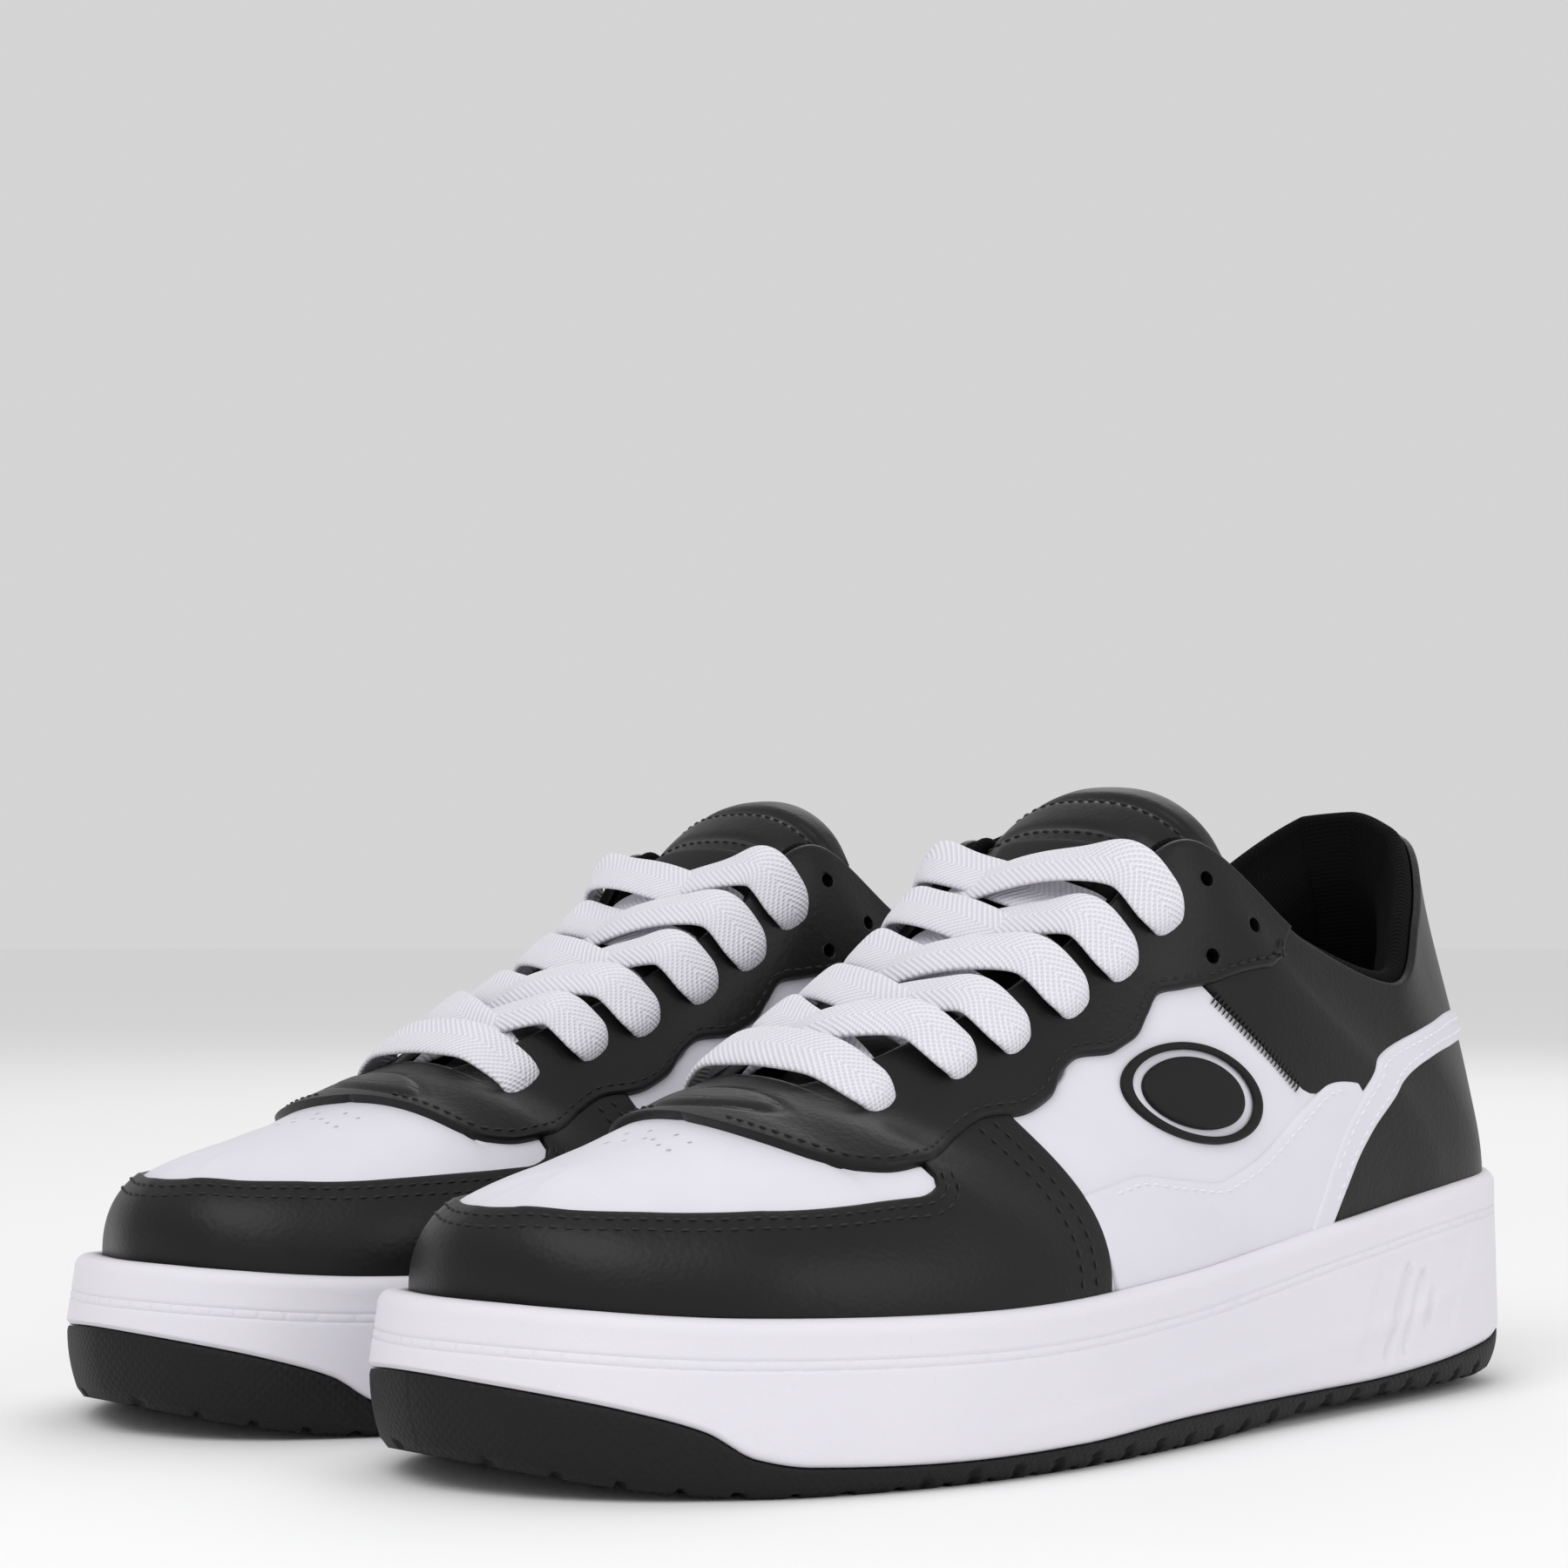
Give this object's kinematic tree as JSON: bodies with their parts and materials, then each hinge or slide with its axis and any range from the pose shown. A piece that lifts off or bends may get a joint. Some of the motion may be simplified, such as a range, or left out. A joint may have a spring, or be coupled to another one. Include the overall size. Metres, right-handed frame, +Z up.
{
  "type": "pair of low wheel-in-heel skate shoes",
  "caption": "Pair of low lace-up shoes with thick cup soles, a mudguard toe, a padded collar and tongue, and a removable wheel on an axle in each heel.",
  "frame": {"origin": "on the floor under the middle of the pair", "axes": "+Z up, toes point along -Y, the left shoe stands at +X"},
  "size_m": [0.208, 0.264, 0.1183],
  "materials": {
    "black_leather": "smooth, slightly shiny",
    "white_leather": "smooth, slightly shiny",
    "black_knit": "ribbed knit",
    "black_rubber": "matt, finely textured",
    "midsole_foam": "matt moulded foam with a lavender tint",
    "white_lace": "flat herringbone weave",
    "foam": "soft foam",
    "board": "stiff board",
    "black_plastic": "moulded",
    "wheel_urethane": "smooth",
    "steel": "turned"
  },
  "bodies": {
    "left_shoe": {"left_outsole": "black_rubber", "left_midsole": "midsole_foam", "left_lasting_board": "board", "left_insole": "black_knit", "left_wheel_housing": "black_plastic", "left_lining": "black_knit", "left_toe_puff": "board", "left_heel_counter": "board", "left_collar_pad": "foam", "left_toe_cap": "black_leather", "left_vamp": "white_leather", "left_eyestay": "black_leather", "left_quarter_lateral": "white_leather", "left_quarter_medial": "white_leather", "left_collar_panel": "black_leather", "left_heel_stripe": "white_leather", "left_heel_panel": "black_leather", "left_badge": "black_rubber", "left_tongue": "black_leather", "left_tongue_label": "black_leather", "left_lace": "white_lace"},
    "left_axle": {"left_wheel_axle": "steel"},
    "left_wheel": {"left_wheel_tyre": "wheel_urethane", "left_wheel_hub": "black_plastic", "left_bearing_lateral": "steel", "left_bearing_medial": "steel"},
    "right_shoe": {"right_outsole": "black_rubber", "right_midsole": "midsole_foam", "right_lasting_board": "board", "right_insole": "black_knit", "right_wheel_housing": "black_plastic", "right_lining": "black_knit", "right_toe_puff": "board", "right_heel_counter": "board", "right_collar_pad": "foam", "right_toe_cap": "black_leather", "right_vamp": "white_leather", "right_eyestay": "black_leather", "right_quarter_lateral": "white_leather", "right_quarter_medial": "white_leather", "right_collar_panel": "black_leather", "right_heel_stripe": "white_leather", "right_heel_panel": "black_leather", "right_badge": "black_rubber", "right_tongue": "black_leather", "right_tongue_label": "black_leather", "right_lace": "white_lace"},
    "right_axle": {"right_wheel_axle": "steel"},
    "right_wheel": {"right_wheel_tyre": "wheel_urethane", "right_wheel_hub": "black_plastic", "right_bearing_lateral": "steel", "right_bearing_medial": "steel"}
  },
  "joints": [
    {"name": "right_shoe_lift", "type": "slide", "parent": "left_shoe", "child": "right_shoe", "axis": [0, 0, 1], "range_m": [0, 0.15]},
    {"name": "left_axle_release", "type": "slide", "parent": "left_shoe", "child": "left_axle", "axis": [0, 0, -1], "range_m": [0, 0.03]},
    {"name": "left_wheel_spin", "type": "hinge", "parent": "left_axle", "child": "left_wheel", "pos_m": [0.0505, 0.088, 0.015], "axis": [1, 0, 0], "continuous": true},
    {"name": "right_axle_release", "type": "slide", "parent": "right_shoe", "child": "right_axle", "axis": [0, 0, -1], "range_m": [0, 0.03]},
    {"name": "right_wheel_spin", "type": "hinge", "parent": "right_axle", "child": "right_wheel", "pos_m": [-0.0505, 0.084, 0.015], "axis": [1, 0, 0], "continuous": true}
  ]
}
